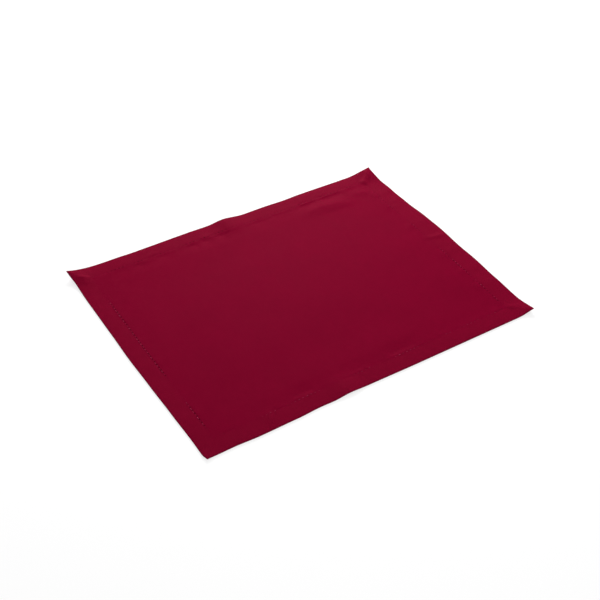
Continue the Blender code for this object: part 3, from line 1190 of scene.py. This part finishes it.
class NodeBoard:
    """Adds and joins shader nodes with short calls."""

    def __init__(self, name: str) -> None:
        """Start an empty material.

        Args:
            name: the material's name.
        """
        self.material = bpy.data.materials.new(name)
        self.material.use_nodes = True
        self.tree = self.material.node_tree
        self.tree.nodes.clear()

    def add(self, kind: str, **settings: object) -> bpy.types.Node:
        """Add a node and set its plain properties.

        Args:
            kind: the node's type.
            settings: its properties by name.

        Returns:
            The node.
        """
        node = self.tree.nodes.new(kind)
        for name, value in settings.items():
            setattr(node, name, value)
        return node

    def feed(self, socket: bpy.types.NodeSocket, value: Feed) -> None:
        """Join an output to a socket, or set the socket's own value.

        Args:
            socket: the socket fed.
            value: an output, or a plain value.
        """
        if isinstance(value, bpy.types.NodeSocket):
            self.tree.links.new(value, socket)
        else:
            socket.default_value = value

    def fed(self, kind: str, sockets: dict[str | int, Feed], **settings: object) -> bpy.types.Node:
        """Add a node and feed it.

        Args:
            kind: the node's type.
            sockets: what feeds its sockets, by their names or numbers.
            settings: its plain properties by name.

        Returns:
            The node.
        """
        node = self.add(kind, **settings)
        for socket, value in sockets.items():
            self.feed(node.inputs[socket], value)
        return node

    def sums(self, operation: str, *values: Feed, clamp: bool = False) -> bpy.types.NodeSocket:
        """Do one sum with a Math node, whose result may be held to 0..1."""
        return self.fed("ShaderNodeMath", dict(enumerate(values)), operation=operation,
                        use_clamp=clamp).outputs[0]

    def times(self, *values: Feed) -> bpy.types.NodeSocket:
        """Multiply values, from the left."""
        return reduce(lambda left, right: self.sums("MULTIPLY", left, right), values)

    def scaled(self, vector: Feed, by: tuple[float, float, float]) -> bpy.types.NodeSocket:
        """Scale a vector by a factor along each axis."""
        return self.fed("ShaderNodeVectorMath", {0: vector, 1: by},
                        operation="MULTIPLY").outputs[0]

    def parts(self, vector: Feed) -> Sequence[bpy.types.NodeSocket]:
        """Split a vector into its three numbers."""
        return self.fed("ShaderNodeSeparateXYZ", {0: vector}).outputs

    def attribute(self, name: str, output: str) -> bpy.types.NodeSocket:
        """Read one of the mesh's own attributes."""
        return self.add("ShaderNodeAttribute", attribute_name=name).outputs[output]

    def noise(self, vector: Feed, scale: float, detail: float) -> bpy.types.NodeSocket:
        """Cloud noise around 0.5, with its scale over a vector and how many finer layers."""
        return self.fed("ShaderNodeTexNoise", {"Vector": vector, "Scale": scale,
                                               "Detail": detail}).outputs["Fac"]

    def spread(self, value: Feed, low: float, high: float) -> bpy.types.NodeSocket:
        """Carry a value from 0..1 to low..high."""
        return self.fed("ShaderNodeMapRange", {"Value": value, "To Min": low,
                                               "To Max": high}).outputs["Result"]

    def around_one(self, value: Feed, amount: float) -> bpy.types.NodeSocket:
        """Carry a value from 0..1 to the same amount under and over 1."""
        return self.spread(value, 1.0 - amount, 1.0 + amount)

    def blend(self, share: Feed, first: Feed, second: Feed,
              way: str = "MIX") -> bpy.types.NodeSocket:
        """Mix two colours.

        Args:
            share: share of the second colour.
            first: the first colour.
            second: the second colour.
            way: the Mix node's blend type.

        Returns:
            The mixed colour's output.
        """
        node = self.fed("ShaderNodeMix", {0: share}, data_type="RGBA", blend_type=way)
        colours = [socket for socket in node.inputs if socket.type == "RGBA"]
        for socket, colour in zip(colours, (first, second)):
            self.feed(socket, colour)
        return next(socket for socket in node.outputs if socket.type == "RGBA")

    def shaded(self, colour: Feed, shade: Feed) -> bpy.types.NodeSocket:
        """A colour times one grey shade, which is 1 where the colour stays as it is."""
        grey = self.fed("ShaderNodeCombineColor", dict.fromkeys(range(3), shade)).outputs[0]
        return self.blend(1.0, colour, grey, "MULTIPLY")

    def bump(self, height: Feed, distance: float, strength: float) -> bpy.types.NodeSocket:
        """Turn a height into a bump: a height of 1 is so many millimetres, felt so strongly."""
        return self.fed("ShaderNodeBump", {"Strength": strength, "Distance": distance * MM,
                                           "Height": height}).outputs[0]

    def surface(self, plain: Colour, sockets: dict[str | int, Feed]) -> bpy.types.Material:
        """Finish the material with one shader.

        Args:
            plain: the plain colour that stands for it.
            sockets: what feeds the shader's sockets, by their names.

        Returns:
            The material.
        """
        shader = self.fed("ShaderNodeBsdfPrincipled", sockets)
        self.fed("ShaderNodeOutputMaterial", {"Surface": shader.outputs[0]})
        self.material.diffuse_color = plain
        return self.material


@dataclass(frozen=True)
class DyedClothFinish:
    """Plain-woven cloth, dyed through.  Colours are linear, lengths in millimetres."""

    dye: Colour = (0.142, 0.0007, 0.0142, 1.0)
    # hem colour, a touch whiter than the dye: a painted sheen on the hems
    hem_sheen: Colour = (0.1425, 0.0012, 0.0144, 1.0)
    # lighter colour of the outer folds: partly abrasion, partly a painted highlight
    worn_and_highlit: Colour = (0.36, 0.016, 0.07, 1.0)
    press_edge: float = 3.0         # how far out from the stitching the hem's painted sheen is full
    yarn_pitch: float = 0.42
    crown_power: float = 0.6        # below 1, the crowns are broad and the gaps narrow
    crown_painted_light: tuple[float, float] = (0.8, 1.06)     # painted shade between the yarns and painted highlight on the crowns
    slub_stretch: float = 0.03      # a slub's width to its length
    slub_shade: float = 0.2         # a shade is how much darker and paler than plain it gets
    slub_height: float = 0.6        # to a crown's
    mottle_scale: float = 22.0      # noise scales are in patches a metre
    mottle_shade: float = 0.06
    fuzz_scale: float = 7000.0
    fuzz_shade: float = 0.12
    fuzz_height: float = 0.5
    rub_and_highlight_scale: float = 160.0
    rub_and_highlight_span: tuple[float, float] = (0.2, 0.9)      # least and most of the lighter fold colour: abrasion and painted highlight
    weave_depth: float = 0.06
    weave_felt: float = 0.6
    stitch_pitch: float = HemSection.stitch_pitch
    mark_length: float = 1.3        # half length of the pulled-in spot between two stitches
    mark_width: float = 1.15        # and its half width
    mark_in: float = 0.5            # how far in from the stitching it lies
    mark_painted_shade: float = 0.68        # how much darker its painted shade makes it
    roughness: tuple[float, float] = (0.37, 0.47)
    specular: float = 0.0007
    specular_tint: Colour = (1.0, 0.5, 0.6, 1.0)
    sheen: float = 0.02
    sheen_roughness: float = 0.45
    sheen_tint: Colour = (1.0, 0.3, 0.45, 1.0)

    def material(self) -> bpy.types.Material:
        """Build the material.

        The weave is the product of two sines on the cut cloth's own coordinates, one crown
        for each crossing, with a painted highlight on the crowns and painted shade between them.
        Long thin noise along each yarn makes slubs, wide noise makes the dye's mottling, the hems
        have a faint painted sheen, the needle holes painted shade, and the outer folds are painted
        lighter where they rub, partly for abrasion and partly as a painted highlight.

        Returns:
            The material.
        """
        board = NodeBoard("dyed_plain_weave")
        cut = board.add("ShaderNodeUVMap", uv_map=UV_MAP).outputs[0]
        per_metre = 1.0 / (self.yarn_pitch * MM)
        yarns = board.scaled(cut, (per_metre, per_metre, 1.0))
        warp, weft = (board.sums("ABSOLUTE", board.sums("SINE", board.times(way, math.pi)))
                      for way in board.parts(yarns)[:2])
        crown = board.sums("POWER", board.times(warp, weft), self.crown_power)

        slub = board.sums("ADD", *(board.noise(board.scaled(yarns, way), 1.0, 1.0) for way in (
            (1.0, self.slub_stretch, 1.0), (self.slub_stretch, 1.0, 1.0))))
        mottle = board.noise(cut, self.mottle_scale, 3.0)
        fuzz = board.noise(cut, self.fuzz_scale, 2.0)
        stitch, from_seam, pull = board.parts(board.attribute("needle_marks", "Vector"))
        # painted shade between the yarns and in the needle holes and a painted highlight on the
        # crowns, times the real tone of slubs, mottling and fuzz
        shade = board.times(
            board.spread(crown, *self.crown_painted_light),
            board.around_one(board.times(slub, 0.5), self.slub_shade),
            board.around_one(mottle, self.mottle_shade),
            board.around_one(fuzz, self.fuzz_shade),
            board.sums("SUBTRACT", 1.0, board.times(
                self.needle_hole_shade(board, stitch, from_seam), pull, self.mark_painted_shade)))

        # the outer folds are painted lighter, partly for abrasion and partly as a painted
        # highlight
        rubbed_and_highlit = board.times(board.attribute("edge_wear_and_highlight", "Fac"), board.spread(
            board.noise(cut, self.rub_and_highlight_scale, 2.0), *self.rub_and_highlight_span))
        # the hems get a painted sheen, full from a little outside the stitching
        hem_sheen_share = board.sums("MULTIPLY", from_seam, -1.0 / self.press_edge, clamp=True)
        colour = board.blend(rubbed_and_highlit, board.blend(hem_sheen_share, self.dye, self.hem_sheen), self.worn_and_highlit)
        height = board.sums("ADD", crown, board.sums("ADD", board.times(slub, self.slub_height),
                                                     board.times(fuzz, self.fuzz_height)))
        return board.surface(self.dye, {
            "Base Color": board.shaded(colour, shade),
            "Roughness": board.spread(mottle, *self.roughness),
            "Specular IOR Level": self.specular,
            "Specular Tint": self.specular_tint,
            "Sheen Weight": self.sheen,
            "Sheen Roughness": self.sheen_roughness,
            "Sheen Tint": self.sheen_tint,
            "Normal": board.bump(height, self.weave_depth, self.weave_felt),
        })

    def needle_hole_shade(self, board: NodeBoard, stitch: Feed, from_seam: Feed) -> bpy.types.NodeSocket:
        """Painted shade in the spot between two stitches where the needle draws the cloth in.

        Args:
            board: the material's board.
            stitch: how many stitches along the seam a place is.
            from_seam: how far in from the seam it is.

        Returns:
            1 in the middle of a spot, falling to 0 at its rim.
        """
        along = board.times(board.sums("SUBTRACT", board.sums(
            "FRACT", board.sums("ADD", stitch, 0.5)), 0.5), self.stitch_pitch / self.mark_length)
        aside = board.times(board.sums("SUBTRACT", from_seam, self.mark_in),
                            1.0 / self.mark_width)
        off = board.sums("ADD", board.times(along, along), board.times(aside, aside))
        return board.sums("MAXIMUM", board.sums("SUBTRACT", 1.0, off), 0.0)


@dataclass(frozen=True)
class SewingThreadFinish:
    """Twisted sewing thread, dyed to match, with a painted highlight where it stands up."""

    dye: Colour = (0.165, 0.0022, 0.02, 1.0)
    # colour of the slack stitches that stand up: a painted highlight
    slack_highlight: Colour = (0.46, 0.045, 0.115, 1.0)
    # painted shade in the twist's grooves
    groove_painted_shade: float = 0.6
    twist_pitch: float = 0.55
    twist_slant: float = 0.5        # along the thread for each millimetre round it
    twist_depth: float = 0.05
    twist_felt: float = 0.5
    fuzz_scale: float = 2500.0      # in patches a metre
    fuzz_shade: float = 0.15
    roughness: tuple[float, float] = (0.44, 0.56)
    specular: float = 0.006

    def material(self) -> bpy.types.Material:
        """Build the material: slanted bands for the twist, as painted shade in its grooves and as
        bump, with a painted highlight on slack stitches.

        Returns:
            The material.
        """
        board = NodeBoard("sewing_thread")
        flat = board.add("ShaderNodeUVMap", uv_map=UV_MAP).outputs[0]
        along, around = board.parts(flat)[:2]
        turns = board.times(board.sums("ADD", along, board.times(around, self.twist_slant)),
                            2.0 * math.pi / (self.twist_pitch * MM))
        twist = board.spread(board.sums("SINE", turns), 0.0, 1.0)
        fuzz = board.noise(flat, self.fuzz_scale, 2.0)
        # stitches that stand up slack get the painted highlight colour
        colour = board.blend(board.attribute("slack", "Fac"), self.dye, self.slack_highlight)
        # painted shade in the twist's grooves, times the fuzz's random tone
        shade = board.times(board.spread(twist, self.groove_painted_shade, 1.0),
                            board.around_one(fuzz, self.fuzz_shade))
        return board.surface(self.dye, {
            "Base Color": board.shaded(colour, shade),
            "Roughness": board.spread(fuzz, *self.roughness),
            "Specular IOR Level": self.specular,
            "Normal": board.bump(twist, self.twist_depth, self.twist_felt),
        })


# ------------------------------------------------------------------ studio

@dataclass(frozen=True)
class SoftLight:
    """A round soft light: its place and width in metres, and its power in watts."""

    name: str
    x: float
    y: float
    z: float
    size: float
    power: float


SOFT_LIGHTS = (
    SoftLight("overhead_softbox", x=0.4, y=0.1, z=1.6, size=1.1, power=15.0),
    SoftLight("back_softbox", x=0.8, y=1.4, z=0.72, size=0.7, power=65.0),
)


@dataclass
class Studio:
    """White table, soft light from above and behind, and the camera.  Lengths in metres.

    The table is a dull white that glows a little by itself, as a lit table does in a bright
    studio, so that it stays white without throwing light back on the cloth.
    """

    table_half: float = 12.0
    table_white: float = 0.22
    table_roughness: float = 0.9
    table_specular: float = 0.1
    table_glow: float = 0.75
    wall_radius: float = 11.0
    wall_span: tuple[float, float] = (-0.1, 9.0)
    wall_sides: int = 64
    wall_glow: float = 0.8
    table_drop: float = 0.0004
    sky: float = 0.22
    focal_px: float = 1128.0
    frame_px: float = 600.0
    sensor: float = 36.0            # in millimetres
    clip: tuple[float, float] = (0.01, 20.0)
    camera_place: tuple[float, float, float] = (-0.56466, -0.87056, 0.88813)
    azimuth: float = -33.042
    elevation: float = 40.898
    roll: float = 1.2

    def build(self) -> None:
        """Build the table, the lights, the sky and the camera."""
        self.table()
        self.backdrop()
        self.lights()
        self.camera()

    def table(self) -> None:
        """A plain white top just under the cloth."""
        mesh = bpy.data.meshes.new("table_top")
        mesh.from_pydata([(x * self.table_half, y * self.table_half, -self.table_drop)
                          for x, y in ((-1, -1), (1, -1), (1, 1), (-1, 1))], [], [(0, 1, 2, 3)])
        mesh.materials.append(NodeBoard("white_table").surface(WHITE, {
            "Base Color": (*[self.table_white] * 3, 1.0),
            "Roughness": self.table_roughness,
            "Specular IOR Level": self.table_specular,
            "Emission Color": WHITE,
            "Emission Strength": self.table_glow,
        }))
        link_piece("table_top", mesh)

    def backdrop(self) -> None:
        """A pale round wall far behind the table: it shows in low views and lights nothing."""
        turn = np.linspace(0.0, 2.0 * math.pi, self.wall_sides, endpoint=False)
        ring = np.stack([np.cos(turn), np.sin(turn)], axis=-1) * self.wall_radius
        low, high = (np.column_stack([ring, np.full(self.wall_sides, z)]) for z in self.wall_span)
        here = np.arange(self.wall_sides)
        after = np.roll(here, -1)
        mesh = bpy.data.meshes.new("pale_wall")
        mesh.from_pydata(np.concatenate([low, high]).tolist(), [], np.stack(
            [here + self.wall_sides, after + self.wall_sides, after, here], axis=-1).tolist())
        mesh.materials.append(NodeBoard("pale_wall").surface(WHITE, {
            "Base Color": (0.0, 0.0, 0.0, 1.0),
            "Specular IOR Level": 0.0,
            "Emission Color": WHITE,
            "Emission Strength": self.wall_glow,
        }))
        wall = link_piece("pale_wall", mesh)
        wall.visible_diffuse = wall.visible_glossy = False
        wall.visible_transmission = wall.visible_shadow = False

    def lights(self) -> None:
        """The soft lights, each a disk that faces the cloth, under an even white sky."""
        for row in SOFT_LIGHTS:
            lamp = bpy.data.lights.new(row.name, "AREA")
            lamp.shape = "DISK"
            lamp.size = row.size
            lamp.energy = row.power
            softbox = bpy.data.objects.new(row.name, lamp)
            softbox.location = (row.x, row.y, row.z)
            softbox.visible_camera = False
            across = math.hypot(row.x, row.y)
            softbox.rotation_euler = (0.0, math.atan2(across, row.z), math.atan2(row.y, row.x))
            bpy.context.scene.collection.objects.link(softbox)
        world = bpy.data.worlds.new("white_sky")
        world.use_nodes = True
        background = world.node_tree.nodes["Background"]
        background.inputs["Color"].default_value = WHITE
        background.inputs["Strength"].default_value = self.sky
        bpy.context.scene.world = world
        bpy.context.scene.view_settings.view_transform = "Standard"

    def camera(self) -> None:
        """The camera at the photograph's angle.

        Its back points along (sin a cos e, -cos a cos e, sin e) for azimuth a and elevation e,
        and it is then rolled about that line.
        """
        lens = bpy.data.cameras.new("view")
        lens.sensor_width = self.sensor
        lens.lens = self.sensor * self.focal_px / self.frame_px
        lens.clip_start, lens.clip_end = self.clip
        camera = bpy.data.objects.new("view", lens)
        a, e, r = (math.radians(x) for x in (self.azimuth, self.elevation, self.roll))
        back = np.array([math.sin(a) * math.cos(e), -math.cos(a) * math.cos(e), math.sin(e)])
        right = unit(np.cross(-back, [0.0, 0.0, 1.0]))
        up = np.cross(back, right)
        turned_right = right * math.cos(r) + up * math.sin(r)
        turned_up = up * math.cos(r) - right * math.sin(r)
        turn = np.eye(4)
        turn[:3, 0], turn[:3, 1], turn[:3, 2] = turned_right, turned_up, back
        turn[:3, 3] = self.camera_place
        camera.matrix_world = Matrix(turn.tolist())
        bpy.context.scene.collection.objects.link(camera)
        bpy.context.scene.camera = camera


# ------------------------------------------------------------------ putting it together

def carried(piece: bpy.types.Object, material: bpy.types.Material) -> bpy.types.Object:
    """Dress a piece and let it move with the placemat.

    Args:
        piece: the piece.
        material: its finish.

    Returns:
        The piece.
    """
    piece.data.materials.append(material)
    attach(piece, ROOT_BODY)
    LOG.info("%s: %d faces", piece.name, len(piece.data.polygons))
    return piece


def main() -> None:
    """Load the frame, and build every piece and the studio."""
    logging.basicConfig(level=logging.INFO, format="%(name)s: %(message)s")
    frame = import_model()
    LOG.info("frame holds %s", sorted(frame["nodes"]))

    cloth = PlacematCloth(laid=LaidCloth(), hem=HemSection(), uneven=Unevenness())
    sheet = carried(cloth.build(), DyedClothFinish().material())
    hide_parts(CLOTH_NODE)

    stitching = HemStitching(cloth)
    thread = SewingThreadFinish().material()
    seams = [carried(stitching.build(face), thread) for face in StitchFace]

    cut = tuple(size * MM for size in cloth.cut_size())
    LOG.info("cut size %.3f x %.3f m", *cut)

    Studio().build()


if __name__ == "__main__":
    main()
